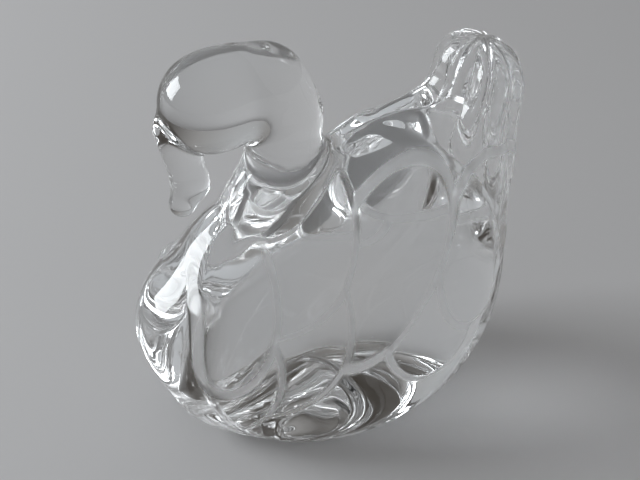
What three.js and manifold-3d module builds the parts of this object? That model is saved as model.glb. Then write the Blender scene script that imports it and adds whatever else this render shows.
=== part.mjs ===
// Clear crystal swan figurine, one casting divided into the glass forms it was built up from.
// Millimetres, +Z up. The bird faces -Y, and its left side is +X. It is the same on both sides of X = 0.
// The origin is on the table, under the middle of the overall length.
import * as THREE from 'three';
import { mergeVertices } from 'three/addons/utils/BufferGeometryUtils.js';
import Module from 'manifold-3d';

// ---------- driving dimensions ----------

const GAP = 0.3; // clearance between neighbouring forms

// The torso is three ovals that run into each other. Each one is stated by its overall size, its
// middle, and its pitch in degrees, rising towards the tail.
const TORSO = { width: 46, length: 67.4, height: 50.4, middleY: 2.9, middleZ: 16.4, pitch: 8 };
const BREAST = { width: 36.4, length: 40.6, height: 36.4, middleY: -18.6, middleZ: 21.8, pitch: 0 };
const RUMP = { width: 36.4, length: 39, height: 39, middleY: 19.3, middleZ: 27.8, pitch: 0 };
const HEAD = { width: 19, length: 19.4, height: 18.9, middleY: -21.9, middleZ: 69, pitch: 0 };

const WING = { thickness: 25.4, length: 70, middleX: 12.5, middleY: 2.3, middleZ: 30.4, pitch: 43 };
const WING_RISE = 12; // from the middle of the wing up to its top edge
const WING_DROP = 25; // from the middle of the wing down to its lowest feathers
const WING_SEAT = 7; // the flat inner face of a wing is this far from the middle plane
const FEATHER_STEP = 0.9; // height of a feather's edge above the feather behind it
const FEATHER_EDGE = 1.5; // width of the rounded step at that edge

const TAIL_FOOT = new THREE.Vector3(0, 28.2, 27);
const TAIL_TOP = new THREE.Vector3(0, 33.6, 73);
const TAIL_WIDTH = 25;
const TAIL_THICKNESS = 16;
const TAIL_RIBS = 10;
const RIB_HEIGHT = 0.9;

const BILL_WIDTH = 8.4;
const BILL_THICKNESS = 6.8;

// The middle line of the neck from the breast to the back of the head, with its half thickness.
const NECK_LINE = [
  { y: -21.5, z: 31, half: 10 },
  { y: -18, z: 39.5, half: 8 },
  { y: -12.4, z: 48, half: 6.4 },
  { y: -8, z: 57, half: 6.2 },
  { y: -7.8, z: 64.5, half: 6.4 },
  { y: -11.5, z: 70.4, half: 7 },
  { y: -18, z: 71, half: 6.6 },
];

// The middle line of the bill from inside the head to its rounded tip, with its share of the size.
const BILL_LINE = [
  { y: -25.5, z: 65, half: 0.5 },
  { y: -27.6, z: 59.5, half: 0.5 },
  { y: -27.5, z: 53.5, half: 0.47 },
  { y: -28.4, z: 47, half: 0.36 },
];

// Wing feathers in side view: the middle of each oval vane, half its width and height, and how far
// its top leans to the rear in degrees. Each one lies over those before it, so the list runs from
// the flight feathers at the rear to the covert at the shoulder.
const FEATHERS = [
  { y: 9, z: 22.4, across: 13.2, up: 13.2, lean: 0 },
  { y: -1, z: 41, across: 18, up: 18, lean: 0 },
  { y: -24, z: 30.5, across: 20.2, up: 21, lean: 0 },
  { y: -34, z: 18, across: 16.8, up: 17, lean: 0 },
  { y: -20.3, z: 49.3, across: 21.4, up: 21.4, lean: 0 },
  { y: -23.3, z: 30.5, across: 6.2, up: 14.6, lean: 22 },
];

// ---------- solids ----------

const wasm = await Module();
wasm.setup();

function solidOf(geometry) {
  const bare = geometry.clone();
  bare.deleteAttribute('normal');
  bare.deleteAttribute('uv');
  const merged = mergeVertices(bare, 1e-4);
  return new wasm.Manifold(new wasm.Mesh({
    numProp: 3,
    vertProperties: Float32Array.from(merged.attributes.position.array),
    triVerts: Uint32Array.from(merged.index.array),
  }));
}

function geometryOf(solid) {
  const mesh = solid.getMesh();
  const geometry = new THREE.BufferGeometry();
  geometry.setAttribute('position', new THREE.BufferAttribute(mesh.vertProperties, 3));
  geometry.setIndex(new THREE.BufferAttribute(mesh.triVerts, 1));
  geometry.computeVertexNormals();
  return geometry;
}

// Moves every vertex of a geometry to where the given function places it.
function warp(geometry, place) {
  const position = geometry.attributes.position;
  const point = new THREE.Vector3();
  for (let i = 0; i < position.count; i += 1) {
    point.fromBufferAttribute(position, i);
    place(point);
    position.setXYZ(i, point.x, point.y, point.z);
  }
  return geometry;
}

// A box that covers everything on the far side of a plane along one axis.
function halfSpace(axis, from) {
  const size = 200;
  const box = new THREE.BoxGeometry(size, size, size);
  const centre = new THREE.Vector3();
  centre[axis] = from + size / 2;
  box.translate(centre.x, centre.y, centre.z);
  return solidOf(box);
}

// ---------- forms; grow makes a form larger all round, to leave a clearance ----------

function ovalForm(form, sides, rows, grow = 0) {
  const ball = new THREE.SphereGeometry(1, sides, rows);
  ball.rotateX(Math.PI / 2);
  ball.scale(form.width / 2 + grow, form.length / 2 + grow, form.height / 2 + grow);
  ball.rotateX(THREE.MathUtils.degToRad(form.pitch));
  ball.translate(0, form.middleY, form.middleZ);
  return solidOf(ball);
}

// How far the feathers stand out of the wing: each vane rises towards its rounded rear edge,
// and drops there to the vane that it lies over.
function featherRelief(y, z) {
  let relief = 0;
  for (const feather of FEATHERS) {
    const lean = THREE.MathUtils.degToRad(feather.lean);
    const back = y - feather.y;
    const up = z - feather.z;
    const acrossShare = (back * Math.cos(lean) - up * Math.sin(lean)) / feather.across;
    const upShare = (back * Math.sin(lean) + up * Math.cos(lean)) / feather.up;
    const reach = Math.hypot(acrossShare, upShare);
    const vane = FEATHER_STEP * Math.min(reach, 1) ** 2;
    const cover = 1 - THREE.MathUtils.smoothstep((reach - 1) * feather.across, 0, FEATHER_EDGE);
    relief = THREE.MathUtils.lerp(relief, vane, cover);
  }
  return relief;
}

function wingForm(side, grow = 0) {
  const ball = new THREE.SphereGeometry(1, 64, 30);
  ball.rotateZ(Math.PI / 2);
  const pitch = THREE.MathUtils.degToRad(WING.pitch);
  const axis = new THREE.Vector3(1, 0, 0);
  return solidOf(warp(ball, (p) => {
    const outward = Math.max(p.x * side, 0);
    p.x *= WING.thickness / 2 + grow;
    p.y *= WING.length / 2 + grow;
    p.z *= (p.z > 0 ? WING_RISE : WING_DROP) + grow;
    p.applyAxisAngle(axis, pitch);
    p.x += side * WING.middleX;
    p.y += WING.middleY;
    p.z += WING.middleZ;
    p.x += side * outward * featherRelief(p.y, p.z);
  }));
}

// The tail is a fluted fan: an oval column that flares upwards and has ribs all round.
function tailForm(grow = 0) {
  const ball = new THREE.SphereGeometry(1, 54, 12);
  ball.rotateX(Math.PI / 2);
  const length = TAIL_FOOT.distanceTo(TAIL_TOP);
  const along = TAIL_TOP.clone().sub(TAIL_FOOT).normalize();
  const across = new THREE.Vector3(1, 0, 0);
  const behind = new THREE.Vector3().crossVectors(along, across);
  return solidOf(warp(ball, (p) => {
    const angle = Math.atan2(p.y, p.x);
    const height = (p.z + 1) / 2;
    const roundness = Math.hypot(p.x, p.y) ** 0.45;
    const rib = RIB_HEIGHT * height * Math.cos(TAIL_RIBS * angle);
    const halfWidth = (TAIL_WIDTH / 2) * (0.84 + 0.16 * height) + rib + grow;
    const halfThickness = (TAIL_THICKNESS / 2) * (1.2 - 0.2 * height) + rib + grow;
    const sideways = halfWidth * roundness * Math.cos(angle);
    const backwards = halfThickness * roundness * Math.sin(angle);
    p.copy(TAIL_FOOT);
    p.addScaledVector(along, height * (length + 2 * grow) - grow);
    p.addScaledVector(across, sideways);
    p.addScaledVector(behind, backwards);
  }));
}

// A round bar that follows a line in the middle plane; section(t) gives its two half sizes.
function barForm(line, section, sides, steps, grow = 0) {
  const bar = new THREE.CylinderGeometry(1, 1, 1, sides, steps);
  bar.rotateX(Math.PI / 2);
  const curve = new THREE.CatmullRomCurve3(line.map((stop) => new THREE.Vector3(0, stop.y, stop.z)));
  const across = new THREE.Vector3(1, 0, 0);
  return solidOf(warp(bar, (p) => {
    const t = THREE.MathUtils.clamp(p.z + 0.5, 0, 1);
    const tangent = curve.getTangent(t);
    const facing = new THREE.Vector3().crossVectors(tangent, across);
    const half = section(t);
    const sideways = p.x * half.width;
    const outwards = p.y * half.thickness;
    p.copy(curve.getPoint(t));
    p.addScaledVector(across, sideways);
    p.addScaledVector(facing, outwards);
    p.addScaledVector(tangent, (2 * t - 1) * grow);
  }));
}

// The half size stated along a line, read at any place on it.
function halfAlong(line, t) {
  const place = t * (line.length - 1);
  const before = Math.min(Math.floor(place), line.length - 2);
  return THREE.MathUtils.lerp(line[before].half, line[before + 1].half, place - before);
}

function neckForm(grow = 0) {
  const section = (t) => {
    const half = halfAlong(NECK_LINE, t) + grow;
    return { width: half, thickness: half };
  };
  return barForm(NECK_LINE, section, 24, 22, grow);
}

function bodyForm() {
  const torso = ovalForm(TORSO, 40, 26);
  const breast = ovalForm(BREAST, 32, 22);
  const rump = ovalForm(RUMP, 32, 22);
  return torso.add(breast).add(rump);
}

function headForm(grow = 0) {
  return ovalForm(HEAD, 28, 18, grow);
}

function billForm() {
  const section = (t) => {
    const tip = Math.sqrt(1 - 0.9 * Math.max((t - 0.75) / 0.25, 0) ** 2);
    const half = halfAlong(BILL_LINE, t) * tip;
    return { width: BILL_WIDTH * half, thickness: BILL_THICKNESS * half };
  };
  return barForm(BILL_LINE, section, 18, 14);
}

// ---------- the forms, fitted to each other ----------

const LEFT = 1;
const RIGHT = -1;

function wingSolid(side, grow = 0) {
  const outside = halfSpace('x', WING_SEAT - grow);
  const keep = side === LEFT ? outside : outside.mirror([1, 0, 0]);
  return wingForm(side, grow).intersect(keep);
}

const bothWings = wingSolid(LEFT, GAP).add(wingSolid(RIGHT, GAP));
const aboveTable = halfSpace('z', 0);

const tail = tailForm().subtract(bothWings);
const neck = neckForm().subtract(headForm(GAP)).subtract(bothWings);
const bill = billForm().subtract(headForm(GAP));
const body = bodyForm()
  .subtract(bothWings)
  .subtract(tailForm(GAP))
  .subtract(neckForm(GAP))
  .intersect(aboveTable);

const SOLIDS = {
  body,
  neck,
  head: headForm(),
  bill,
  wing_left: wingSolid(LEFT).intersect(aboveTable),
  wing_right: wingSolid(RIGHT).intersect(aboveTable),
  tail,
};

// ---------- the assembly ----------

function clearCrystal() {
  return new THREE.MeshStandardMaterial({
    color: 0xeef2f4,
    roughness: 0.02,
    metalness: 0,
    transparent: true,
    opacity: 0.35,
  });
}

const swan = new THREE.Group();
for (const [name, solid] of Object.entries(SOLIDS)) {
  const mesh = new THREE.Mesh(geometryOf(solid), clearCrystal());
  mesh.name = name;
  swan.add(mesh);
}

// The origin lies under the middle of the overall length.
const overall = new THREE.Box3().setFromObject(swan);
swan.position.y = -(overall.min.y + overall.max.y) / 2;

export default swan;
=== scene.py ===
"""A clear crystal swan figurine, one casting with a bowed head, folded wings and a fluted tail.

The glass is described as a distance field, in millimetres, whose forms are placed by the boxes of
the CAD nodes. The field is meshed, moved exactly onto the surface, and cut into one closed piece
for each node. Blender's own units are metres.
"""
import math

import bmesh
import bpy
import numpy as np
import openvdb
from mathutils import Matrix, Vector


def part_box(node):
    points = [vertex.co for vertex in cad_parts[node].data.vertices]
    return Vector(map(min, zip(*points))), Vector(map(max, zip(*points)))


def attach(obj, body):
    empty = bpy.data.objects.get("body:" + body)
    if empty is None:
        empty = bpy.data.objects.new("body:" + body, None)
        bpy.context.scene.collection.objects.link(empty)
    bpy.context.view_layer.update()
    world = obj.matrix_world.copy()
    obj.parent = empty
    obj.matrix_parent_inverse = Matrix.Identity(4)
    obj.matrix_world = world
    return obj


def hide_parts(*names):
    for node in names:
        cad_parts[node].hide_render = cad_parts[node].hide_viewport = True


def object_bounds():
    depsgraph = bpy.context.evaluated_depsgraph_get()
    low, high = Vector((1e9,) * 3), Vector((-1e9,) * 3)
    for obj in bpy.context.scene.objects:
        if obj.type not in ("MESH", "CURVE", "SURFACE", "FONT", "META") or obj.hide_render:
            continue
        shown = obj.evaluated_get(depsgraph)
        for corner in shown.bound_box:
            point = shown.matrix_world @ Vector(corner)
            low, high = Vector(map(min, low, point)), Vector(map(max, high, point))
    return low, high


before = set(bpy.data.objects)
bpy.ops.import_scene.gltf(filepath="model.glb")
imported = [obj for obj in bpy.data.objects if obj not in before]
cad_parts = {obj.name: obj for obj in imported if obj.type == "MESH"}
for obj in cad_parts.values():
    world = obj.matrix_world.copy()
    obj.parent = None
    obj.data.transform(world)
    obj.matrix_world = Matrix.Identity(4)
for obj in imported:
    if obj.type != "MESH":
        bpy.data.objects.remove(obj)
cad_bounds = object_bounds()

MM = 0.001  # metres in a millimetre

# ---------- places and sizes, read from the CAD nodes ----------


BOXES = {node: np.array(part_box(node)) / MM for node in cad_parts}


def size(node):
    low, high = BOXES[node]
    return high - low


def spot(node, back, up, side=0.0):
    """A place in a node's box: back goes from front to rear, up from bottom to top, both 0 to 1."""
    low, high = BOXES[node]
    return np.array([side, low[1] + back * (high[1] - low[1]), low[2] + up * (high[2] - low[2])])


WIDTH = 2 * BOXES["wing_left"][1][0]  # over both wings
BODY_LENGTH = size("body")[1]
BODY_HEIGHT = size("body")[2]
WING_LENGTH = size("wing_left")[1]

# Radii of the soft hollows where one form runs into the next.
BLEND_TORSO = 6.0
BLEND_NECK = 7.0
BLEND_NECK_LINKS = 4.0
BLEND_TAIL = 6.0
BLEND_HEAD = 4.0
BLEND_BILL = 1.5
BLEND_WING = 7.0
BASE_EDGE = 0.5  # radius of the edge of the ground base

# ---------- distance fields ----------


def smooth_min(a, b, blend):
    mix = np.clip(0.5 + 0.5 * (b - a) / blend, 0, 1)
    return b + (a - b) * mix - blend * mix * (1 - mix)


def smooth_max(a, b, blend):
    return -smooth_min(-a, -b, blend)


def smooth_step(low, high, value):
    t = np.clip((value - low) / (high - low), 0, 1)
    return t * t * (3 - 2 * t)


def pitched(points, middle, degrees):
    """The points as seen from a form's middle, with the form's own axes level."""
    turn = math.radians(degrees)
    x, y, z = (points - middle).T
    along = y * math.cos(turn) + z * math.sin(turn)
    above = z * math.cos(turn) - y * math.sin(turn)
    return np.stack([x, along, above], -1)


def oval(local, radii):
    """Roughly the distance to an oval, from places in the oval's own frame."""
    scaled = local / radii
    reach = np.sqrt((scaled**2).sum(-1))
    steepness = np.sqrt(((scaled / radii) ** 2).sum(-1))
    return reach * (reach - 1) / np.maximum(steepness, 1e-9)


def round_cone(points, start, end, start_radius, end_radius):
    along = end - start
    offset = points - start
    t = np.clip(offset @ along / (along @ along), 0, 1)
    radius = start_radius + (end_radius - start_radius) * t
    return np.linalg.norm(offset - t[:, None] * along, axis=-1) - radius


def chain(points, stops, blend):
    """Round cones joined end to end through stops, each a place and a radius."""
    field = None
    for (start, start_radius), (end, end_radius) in zip(stops[:-1], stops[1:]):
        link = round_cone(points, start, end, start_radius, end_radius)
        field = link if field is None else smooth_min(field, link, blend)
    return field


# ---------- the forms of the swan ----------

# Each vane is an oval: its middle in the wing's box, half its width and height as shares of the
# wing's length, and how far its top leans to the rear. The first is the outline of the folded wing.
WING_OUTLINE = (0.415, 0.535, 0.469, 0.573, 48)
# Each feather lies over those before it, from the flight feathers to the covert at the shoulder.
FEATHERS = [
    (0.644, 0.449, 0.165, 0.165, 0),
    (0.896, 0.710, 0.182, 0.295, 26),
    (0.523, 0.697, 0.161, 0.356, 38),
    (-0.007, 0.589, 0.382, 0.390, 0),
    (-0.233, 0.391, 0.365, 0.365, 0),
    (0.094, 0.879, 0.361, 0.361, 0),
    (0.023, 0.544, 0.108, 0.253, 22),
]
FEATHER_STEP = 0.9  # how far a feather's edge stands out
FEATHER_EDGE = 1.8  # how wide the slope at its edge is
WING_STEP = 0.8  # the same for the outline of the folded wing
WING_EDGE = 1.8
FROST_WIDTH = 0.9  # half the width of the soft matt line along a feather's edge
# Relief rises from nothing to its full height between these distances.
SPINE_FADE = (3, 10)  # the feathers, from the middle plane
OUTLINE_FADE = (0, 5)  # the wing's outline, from the middle plane
BASE_FADE = (1, 9)  # the feathers, from the base


def vane_reach(vane, y, z):
    """How far out in a vane a place lies: 0 in its middle and 1 on its edge."""
    back, up, across, tall, lean = vane
    _, middle_y, middle_z = spot("wing_left", back, up)
    turn = math.radians(lean)
    beside = (y - middle_y) * math.cos(turn) - (z - middle_z) * math.sin(turn)
    above = (y - middle_y) * math.sin(turn) + (z - middle_z) * math.cos(turn)
    return np.hypot(beside / across, above / tall) / WING_LENGTH


def below_ridge(place):
    """1 on the flank and 0 where the feathers run out towards the ridge of the back."""
    low, high = np.array(RIDGE_FADE) * WING_RISE
    return 1 - smooth_step(low, high, place[:, 2])


def feathers(points):
    """How far the feathers stand out of the flank, and how near each place is to an edge."""
    y, z = points[:, 1], points[:, 2]
    beside = np.abs(points[:, 0])
    relief = np.zeros_like(y)
    line = np.zeros_like(y)
    for vane in FEATHERS:
        reach = vane_reach(vane, y, z)
        past = (reach - 1) * vane[2] * WING_LENGTH
        inside = 1 - smooth_step(-FEATHER_EDGE / 2, FEATHER_EDGE / 2, past)
        height = FEATHER_STEP * np.minimum(reach, 1) ** 2
        relief = relief + (height - relief) * inside
        line = np.maximum(line * (1 - inside), np.exp(-((past / FROST_WIDTH) ** 2)))
    fade = below_ridge(wing_place(points)) * smooth_step(*SPINE_FADE, beside)
    fade = fade * smooth_step(*BASE_FADE, z)
    outline = (vane_reach(WING_OUTLINE, y, z) - 1) * WING_OUTLINE[2] * WING_LENGTH
    proud = WING_STEP * (1 - smooth_step(-WING_EDGE / 2, WING_EDGE / 2, outline))
    return relief * fade + proud * smooth_step(*OUTLINE_FADE, beside), line * fade


def torso_field(points):
    """The belly, the rump under the tail and the breast, run into each other."""
    half = WIDTH / 2
    belly = oval(
        pitched(points, spot("body", 0.537, 0.361), 8),
        np.array([0.98 * half, 0.431 * BODY_LENGTH, 0.535 * BODY_HEIGHT]),
    )
    rump = oval(
        pitched(points, spot("body", 0.74, 0.565), 35),
        np.array([0.708 * half, 0.247 * BODY_LENGTH, 0.415 * BODY_HEIGHT]),
    )
    breast = oval(
        points - spot("body", 0.26, 0.459),
        np.array([0.722 * half, 0.258 * BODY_LENGTH, 0.357 * BODY_HEIGHT]),
    )
    return smooth_min(smooth_min(belly, rump, BLEND_TORSO), breast, BLEND_TORSO)


WING_PITCH = 40.6  # how far the wing's rear end is tipped up
WING_LEAN = 28.3  # how far its top edge leans in over the back
WING_RISE = 20.4  # from its middle to its top edge
WING_DROP = 23.0  # and to its bottom edge
WING_HALF_THICKNESS = 0.364  # as a share of half the width over both wings
WING_MIDDLE = 0.258  # its middle's distance from the middle plane, as such a share
WING_HALF_LENGTH = 0.685  # as a share of the wing box's length
RIDGE_FADE = (0.55, 0.9)  # the feathers fade out between these shares of the wing's rise


def wing_place(points):
    """The points in their own wing's frame: through it, along it and up it."""
    mirrored = points.copy()
    mirrored[:, 0] = np.abs(mirrored[:, 0])
    place = pitched(mirrored, spot("wing_left", 0.426, 0.578, WING_MIDDLE * WIDTH / 2), WING_PITCH)
    lean = math.radians(WING_LEAN)
    through = place[:, 0] * math.cos(lean) + place[:, 2] * math.sin(lean)
    above = place[:, 2] * math.cos(lean) - place[:, 0] * math.sin(lean)
    return np.stack([through, place[:, 1], above], -1)


def wing_field(points):
    """Both wings at once: a lens on each flank, whose top edges meet over the back."""
    place = wing_place(points)
    height = np.where(place[:, 2] > 0, WING_RISE, WING_DROP)
    thickness = np.full_like(height, WING_HALF_THICKNESS * WIDTH / 2)
    length = np.full_like(height, WING_HALF_LENGTH * WING_LENGTH)
    return oval(place, np.stack([thickness, length, height], -1))


TAIL_RIBS = 10
RIB_HEIGHT = 1.6
TAIL_CAP = 4  # how far the column goes on past its foot and its top
TAIL_ROUNDING = 8  # radius of the edge round its top


def tail_field(points):
    """A fluted oval column that flares to its rounded top."""
    foot = spot("tail", 0.375, 0.092)
    top = spot("tail", 0.625, 0.92)
    length = np.linalg.norm(top - foot)
    along = (top - foot) / length
    behind = np.cross(along, [1.0, 0, 0])
    local = points - foot
    height = local @ along
    beside = local[:, 0]
    back = local @ behind
    share = np.clip(height / length, 0, 1)
    # From its foot to its top the column grows wider and less deep.
    half_width = 0.52 * size("tail")[0] * (0.88 + 0.12 * share)
    half_depth = 0.4 * size("tail")[1] * (1.28 - 0.28 * share)
    angle = np.arctan2(back / half_depth, beside / half_width)
    reach = np.hypot(beside / half_width, back / half_depth)
    side = (reach - 1) * np.minimum(half_width, half_depth) * 0.95
    valley = 1 - np.abs(np.cos(TAIL_RIBS / 2 * angle))
    side = side + RIB_HEIGHT * (0.4 + 0.6 * share) * valley * np.minimum(reach, 1.2)
    ends = np.abs(height - length / 2) - length / 2 - TAIL_CAP
    return smooth_max(side, ends, TAIL_ROUNDING)


def neck_field(points):
    """From deep in the breast, up and back, then over the nape and into the head."""
    stops = [
        (spot("neck", 0.485, 0.095), 12),
        (spot("neck", 0.413, 0.187), 7.9),
        (spot("neck", 0.629, 0.404), 6.3),
        (spot("neck", 0.762, 0.593), 5.9),
        (spot("neck", 0.776, 0.737), 6.4),
        (spot("neck", 0.643, 0.853), 7.4),
        (spot("neck", 0.474, 0.87), 7.4),
    ]
    return chain(points, stops, BLEND_NECK_LINKS)


def head_field(points):
    return oval(points - spot("head", 0.5, 0.5), size("head") / 2)


def bill_field(points):
    """A drop that hangs from inside the head and turns forward at its tip."""
    thickness = size("bill")[0]
    stops = [
        (spot("bill", 0.32, 1.1), 0.49 * thickness),
        (spot("bill", 0.66, 0.405), 0.41 * thickness),
        (spot("bill", 0.40, 0.145), 0.31 * thickness),
    ]
    return chain(points, stops, BLEND_BILL)


def swan(points):
    """Distance in millimetres to the surface of the glass, below zero inside it."""
    relief, _ = feathers(points)
    field = smooth_min(torso_field(points), wing_field(points), BLEND_WING) - relief
    field = smooth_min(field, tail_field(points), BLEND_TAIL)
    field = smooth_min(field, neck_field(points), BLEND_NECK)
    field = smooth_min(field, head_field(points), BLEND_HEAD)
    field = smooth_min(field, bill_field(points), BLEND_BILL)
    return smooth_max(field, -points[:, 2], BASE_EDGE)


# ---------- meshing the field ----------

CELL = 0.8  # the first mesh's spacing; the second is half of it
MARGIN = 4  # how far the grid goes past the CAD box
REACH = 0.02  # the step either way at which the field is read to find its slope
LEAST_STEEPNESS = 0.05  # keeps a step finite where the field is nearly flat


def slope(points):
    gradient = np.empty_like(points)
    for axis in range(3):
        step = np.zeros(3)
        step[axis] = REACH
        gradient[:, axis] = (swan(points + step) - swan(points - step)) / (2 * REACH)
    return gradient


def settle(points, rounds):
    """Moves points onto the surface along the field's slope."""
    for _ in range(rounds):
        gradient = slope(points)
        steepness = np.maximum((gradient**2).sum(-1, keepdims=True), LEAST_STEEPNESS)
        points = points - swan(points)[:, None] * gradient / steepness
    return points


def coarse_surface():
    """Corners and quads of the whole swan, the same on both sides of the middle plane."""
    low = np.array(cad_bounds[0]) / MM - MARGIN
    high = np.array(cad_bounds[1]) / MM + MARGIN
    half = math.ceil(high[0] / CELL)
    xs = np.arange(-half, half + 1) * CELL
    ys = np.arange(low[1], high[1], CELL)
    zs = np.arange(low[2], high[2], CELL)
    places = np.stack(np.meshgrid(xs, ys, zs, indexing="ij"), -1)
    values = swan(places.reshape(-1, 3)).reshape(places.shape[:3])
    grid = openvdb.FloatGrid(MARGIN * CELL)
    grid.copyFromArray(values.astype(np.float32))
    corners, quads = grid.convertToQuads(isovalue=0.0)
    origin = np.array([xs[0], ys[0], zs[0]])
    return settle(np.asarray(corners, float) * CELL + origin, 4), np.asarray(quads, int)


def finer(points, quads):
    """Splits every quad in four and moves the new corners onto the surface."""
    sides = np.stack([quads, np.roll(quads, -1, 1)], -1).reshape(-1, 2)
    edges, which = np.unique(np.sort(sides, 1), axis=0, return_inverse=True)
    middles = which.reshape(-1, 4) + len(points)
    centres = np.arange(len(quads)) + len(points) + len(edges)
    corners = np.concatenate([points, points[edges].mean(1), points[quads].mean(1)])
    split = [
        np.stack([quads[:, k], middles[:, k], centres, middles[:, k - 1]], -1) for k in range(4)
    ]
    return settle(corners, 3), np.concatenate(split)


def swan_mesh():
    """The whole swan as one closed mesh whose faces look outwards."""
    points, quads = finer(*coarse_surface())
    mesh = bpy.data.meshes.new("swan")
    mesh.from_pydata((points * MM).tolist(), [], quads.tolist())
    whole = bmesh.new()
    whole.from_mesh(mesh)
    if whole.calc_volume(signed=True) < 0:
        mesh.flip_normals()
    whole.free()
    return mesh


# ---------- cutting it into pieces ----------

JOINT = 1  # the material slot of the faces between two pieces; the glass is slot 0
SNAP = 1e-8  # metres from a cut at which a corner counts as on it
WING_CUT = 17.9  # where each wing's cut crosses the base, from the middle plane


def part_behind(mesh, point, normal):
    """The closed part of a mesh behind a plane; the cut face is a fused joint."""
    cut = bmesh.new()
    cut.from_mesh(mesh)
    everything = cut.verts[:] + cut.edges[:] + cut.faces[:]
    result = bmesh.ops.bisect_plane(
        cut, geom=everything, dist=SNAP, plane_co=point, plane_no=normal, clear_outer=True
    )
    rim = [item for item in result["geom_cut"] if isinstance(item, bmesh.types.BMEdge)]
    for face in bmesh.ops.holes_fill(cut, edges=rim, sides=0)["faces"]:
        face.material_index = JOINT
        face.normal_update()
        if face.normal.dot(normal) < 0:
            face.normal_flip()
    part = bpy.data.meshes.new("part")
    cut.to_mesh(part)
    cut.free()
    return part


def divided(mesh, point, normal):
    """The two closed parts of a mesh, behind and before a plane."""
    point = Vector(point) * MM
    normal = Vector(normal)
    return part_behind(mesh, point, normal), part_behind(mesh, point, -normal)


def pieces():
    """Cuts off the tail, neck, bill, head and wings; what is left is the body.

    The cut between the neck and the head also crosses the rear of the bill's tip, and leaves that
    small part of it with the neck.
    """
    rest, tail = divided(swan_mesh(), spot("body", 0.76, 1.4), (0, 0.8, 0.6))
    rest, upper = divided(rest, spot("neck", 0.0, 0.17), (0, -0.496, 0.868))
    neck, front = divided(upper, spot("neck", 0.63, 0.79), (0, -0.757, 0.653))
    bill, head = divided(front, spot("bill", 0.5, 0.78), (0, 0.482, 0.876))
    rest, left = divided(rest, (WING_CUT, 0, 0), (1, 0.0838, 0.2447))
    body, right = divided(rest, (-WING_CUT, 0, 0), (-1, 0.0838, 0.2447))
    return {
        "body": body,
        "neck": neck,
        "head": head,
        "bill": bill,
        "wing_left": left,
        "wing_right": right,
        "tail": tail,
    }


def corner_places(mesh):
    """Where a mesh's vertices are, in millimetres."""
    places = np.empty(len(mesh.vertices) * 3)
    mesh.vertices.foreach_get("co", places)
    return places.reshape(-1, 3) / MM


def smooth_normals(mesh):
    """Shades the glass by the field's own slope, so that no seam shows between two pieces."""
    field = slope(corner_places(mesh))
    field /= np.linalg.norm(field, axis=1, keepdims=True)
    corner = np.empty(len(mesh.loops), int)
    mesh.loops.foreach_get("vertex_index", corner)
    normals = field[corner]
    for polygon in mesh.polygons:
        if polygon.material_index == JOINT:
            normals[list(polygon.loop_indices)] = polygon.normal
    mesh.polygons.foreach_set("use_smooth", np.ones(len(mesh.polygons), bool))
    mesh.normals_split_custom_set(normals.tolist())


def mark_feather_lines(mesh):
    """Stores how near each vertex is to a feather's edge, for the glass to be matt there."""
    _, line = feathers(corner_places(mesh))
    matt = mesh.attributes.new(LINE_NAME, "FLOAT", "POINT")
    matt.data.foreach_set("value", line)


# ---------- materials ----------


def new_material(name):
    material = bpy.data.materials.new(name)
    material.use_nodes = True
    return material, material.node_tree.nodes, material.node_tree.links


LINE_NAME = "feather_line"
LINE_ROUGHNESS = 0.4  # of the matt line along a feather's edge


def crystal_material():
    """Clear crystal with faint ripple, a trace of warm and cool tint, and matt feather lines."""
    material, nodes, links = new_material("crystal")
    shader = nodes["Principled BSDF"]
    shader.inputs["Transmission Weight"].default_value = 1.0
    shader.inputs["IOR"].default_value = 1.545
    place = nodes.new("ShaderNodeTexCoord")

    def noise(scale, detail):
        texture = nodes.new("ShaderNodeTexNoise")
        texture.inputs["Scale"].default_value = scale
        texture.inputs["Detail"].default_value = detail
        links.new(place.outputs["Object"], texture.inputs["Vector"])
        return texture.outputs["Fac"]

    tint = nodes.new("ShaderNodeValToRGB")
    tint.color_ramp.elements[0].position = 0.35
    tint.color_ramp.elements[0].color = (0.975, 0.985, 0.99, 1)
    tint.color_ramp.elements[1].position = 0.65
    tint.color_ramp.elements[1].color = (0.995, 0.992, 0.985, 1)
    links.new(noise(scale=35, detail=1), tint.inputs["Fac"])
    links.new(tint.outputs["Color"], shader.inputs["Base Color"])

    polish = nodes.new("ShaderNodeMapRange")
    polish.inputs["From Min"].default_value = 0.5
    polish.inputs["From Max"].default_value = 0.75
    polish.inputs["To Min"].default_value = 0.0
    polish.inputs["To Max"].default_value = 0.025
    links.new(noise(scale=120, detail=3), polish.inputs["Value"])
    line = nodes.new("ShaderNodeAttribute")
    line.attribute_name = LINE_NAME
    matt = nodes.new("ShaderNodeMath")
    matt.operation = "MULTIPLY_ADD"
    matt.inputs[1].default_value = LINE_ROUGHNESS
    links.new(line.outputs["Fac"], matt.inputs[0])
    links.new(polish.outputs["Result"], matt.inputs[2])
    links.new(matt.outputs["Value"], shader.inputs["Roughness"])

    ripple = nodes.new("ShaderNodeBump")
    ripple.inputs["Strength"].default_value = 0.06
    ripple.inputs["Distance"].default_value = 0.15 * MM
    links.new(noise(scale=170, detail=1), ripple.inputs["Height"])
    links.new(ripple.outputs["Normal"], shader.inputs["Normal"])
    return material


def joint_material():
    """Nothing shows where two pieces are fused, so the faces between them are clear."""
    material, nodes, links = new_material("fused_joint")
    nodes.remove(nodes["Principled BSDF"])
    clear = nodes.new("ShaderNodeBsdfTransparent")
    links.new(clear.outputs["BSDF"], nodes["Material Output"].inputs["Surface"])
    return material


def table_material():
    material, nodes, _ = new_material("table")
    shader = nodes["Principled BSDF"]
    shader.inputs["Base Color"].default_value = (0.62, 0.61, 0.61, 1)
    shader.inputs["Roughness"].default_value = 0.6
    return material


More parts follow.
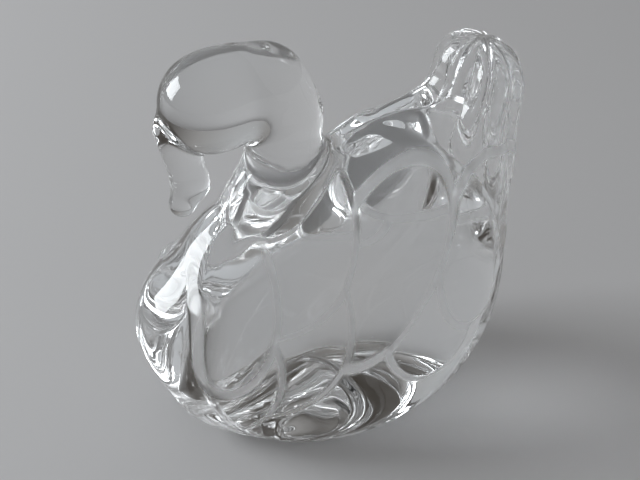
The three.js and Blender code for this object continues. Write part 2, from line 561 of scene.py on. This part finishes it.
def add_swan():
    crystal = crystal_material()
    joint = joint_material()
    for node, mesh in pieces().items():
        mesh.name = "glass_" + node
        mesh.materials.append(crystal)
        mesh.materials.append(joint)
        mark_feather_lines(mesh)
        smooth_normals(mesh)
        piece = bpy.data.objects.new("glass_" + node, mesh)
        bpy.context.scene.collection.objects.link(piece)
        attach(piece, "root")
        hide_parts(node)


# ---------- table, light and camera ----------

BASE_CLEARANCE = 0.1  # the ground base doesn't touch the table all over
WINDOW_SIDE = Vector((-0.465, -0.804, 0.392))  # the direction in which the window lies
TABLE_SIDE = 6  # metres


def add_table():
    bpy.ops.mesh.primitive_plane_add(size=TABLE_SIDE, location=(0, 0, -BASE_CLEARANCE * MM))
    table = bpy.context.object
    table.name = "table"
    table.data.materials.append(table_material())


def add_window(name, towards, distance, width, height, power, colour):
    """A soft rectangular light that shines on the swan from one direction."""
    data = bpy.data.lights.new(name, "AREA")
    data.shape = "RECTANGLE"
    data.size = width
    data.size_y = height
    data.energy = power
    data.color = colour
    light = bpy.data.objects.new(name, data)
    towards = towards.normalized()
    light.location = towards * distance
    light.rotation_euler = towards.to_track_quat("Z", "Y").to_euler()
    bpy.context.scene.collection.objects.link(light)


def add_room():
    """A soft room, light towards the window and dim and warm on the side away from it."""
    world = bpy.data.worlds.new("room")
    world.use_nodes = True
    bpy.context.scene.world = world
    nodes = world.node_tree.nodes
    links = world.node_tree.links
    place = nodes.new("ShaderNodeTexCoord")
    facing = nodes.new("ShaderNodeVectorMath")
    facing.operation = "DOT_PRODUCT"
    facing.inputs[1].default_value = WINDOW_SIDE.normalized()
    links.new(place.outputs["Generated"], facing.inputs[0])
    share = nodes.new("ShaderNodeMapRange")
    share.inputs["From Min"].default_value = -1
    links.new(facing.outputs["Value"], share.inputs["Value"])
    ramp = nodes.new("ShaderNodeValToRGB")
    ramp.color_ramp.elements[0].position = 0.25
    ramp.color_ramp.elements[0].color = (0.03, 0.024, 0.017, 1)
    ramp.color_ramp.elements[1].position = 1.0
    ramp.color_ramp.elements[1].color = (0.5, 0.52, 0.54, 1)
    middle = ramp.color_ramp.elements.new(0.52)
    middle.color = (0.26, 0.255, 0.25, 1)
    links.new(share.outputs["Result"], ramp.inputs["Fac"])
    links.new(ramp.outputs["Color"], nodes["Background"].inputs["Color"])


def add_camera():
    """Looks down on the swan from its left and a little ahead; lengths are in millimetres."""
    azimuth = math.radians(68.5)
    elevation = math.radians(31.4)
    distance = 266
    back = Vector(
        (
            math.sin(azimuth) * math.cos(elevation),
            -math.cos(azimuth) * math.cos(elevation),
            math.sin(elevation),
        )
    )
    data = bpy.data.cameras.new("camera")
    data.lens = 75
    data.clip_start = 0.01
    camera = bpy.data.objects.new("camera", data)
    target = Vector((0, -1.25, 35))
    camera.location = (target + back * distance) * MM
    camera.rotation_euler = back.to_track_quat("Z", "Y").to_euler()
    bpy.context.scene.collection.objects.link(camera)
    bpy.context.scene.camera = camera


def set_light_paths():
    """Light crosses many faces inside the crystal before it leaves."""
    scene = bpy.context.scene
    scene.view_settings.view_transform = "Standard"
    scene.cycles.max_bounces = 24
    scene.cycles.transmission_bounces = 24
    scene.cycles.glossy_bounces = 12
    scene.cycles.transparent_max_bounces = 32


add_swan()
add_table()
add_room()
add_window(
    "window",
    towards=WINDOW_SIDE,
    distance=1.0,
    width=0.5,
    height=0.5,
    power=8,
    colour=(0.93, 0.97, 1.0),
)
add_camera()
set_light_paths()
